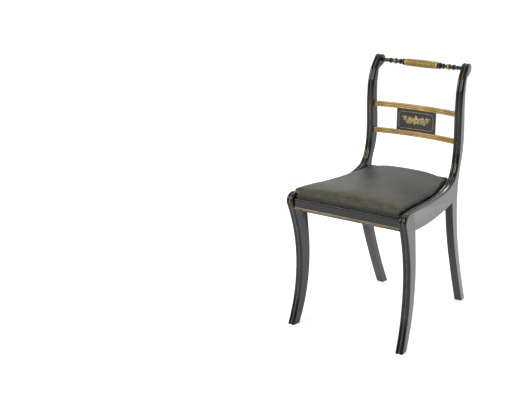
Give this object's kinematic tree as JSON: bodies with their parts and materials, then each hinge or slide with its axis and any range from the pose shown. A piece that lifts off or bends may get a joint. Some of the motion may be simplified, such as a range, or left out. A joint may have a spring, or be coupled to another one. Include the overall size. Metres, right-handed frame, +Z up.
{
  "type": "klismos dining chair",
  "caption": "Armless dining chair with sabre legs, rolled-over back, turned crest rail, gilt cross rails and a drop-in upholstered seat.",
  "frame": {"origin": "on the floor under the middle of the chair's box", "axes": "+Z up, the front faces -Y, the two sides are mirror images across X = 0"},
  "size_m": [0.4306, 0.5628, 0.84],
  "materials": {
    "ebonised_wood": "black polish with gilt lines",
    "gilt_wood": "rubbed gilding over black",
    "beech": "bare planed wood",
    "screw_steel": "dull steel",
    "tack_steel": "blued steel",
    "jute_webbing": "woven jute",
    "hessian": "coarse weave",
    "hair_stuffing": "matted curled hair",
    "black_cloth": "dark ribbed horsehair cloth",
    "lining_cloth": "thin plain cloth"
  },
  "bodies": {
    "frame": {"front_rail": "ebonised_wood", "back_rail": "ebonised_wood", "left_front_leg": "ebonised_wood", "left_side_rail": "ebonised_wood", "left_back_post": "ebonised_wood", "right_front_leg": "ebonised_wood", "right_side_rail": "ebonised_wood", "right_back_post": "ebonised_wood", "crest_rail": "gilt_wood", "upper_cross_rail": "gilt_wood", "lower_cross_rail": "gilt_wood", "tablet_panel": "ebonised_wood", "front_left_corner_block": "beech", "front_right_corner_block": "beech", "rear_left_corner_block": "beech", "rear_right_corner_block": "beech", "corner_block_screws": "screw_steel"},
    "seat": {"seat_frame_front": "beech", "seat_frame_back": "beech", "seat_frame_left": "beech", "seat_frame_right": "beech", "webbing_crosswise": "jute_webbing", "webbing_lengthwise": "jute_webbing", "base_cloth": "hessian", "seat_stuffing": "hair_stuffing", "seat_cover": "black_cloth", "dust_cover": "lining_cloth", "cover_tacks": "tack_steel"}
  },
  "joints": [
    {"name": "seat_lift", "type": "slide", "parent": "frame", "child": "seat", "axis": [0, 0, 1], "range_m": [0, 0.12]}
  ]
}
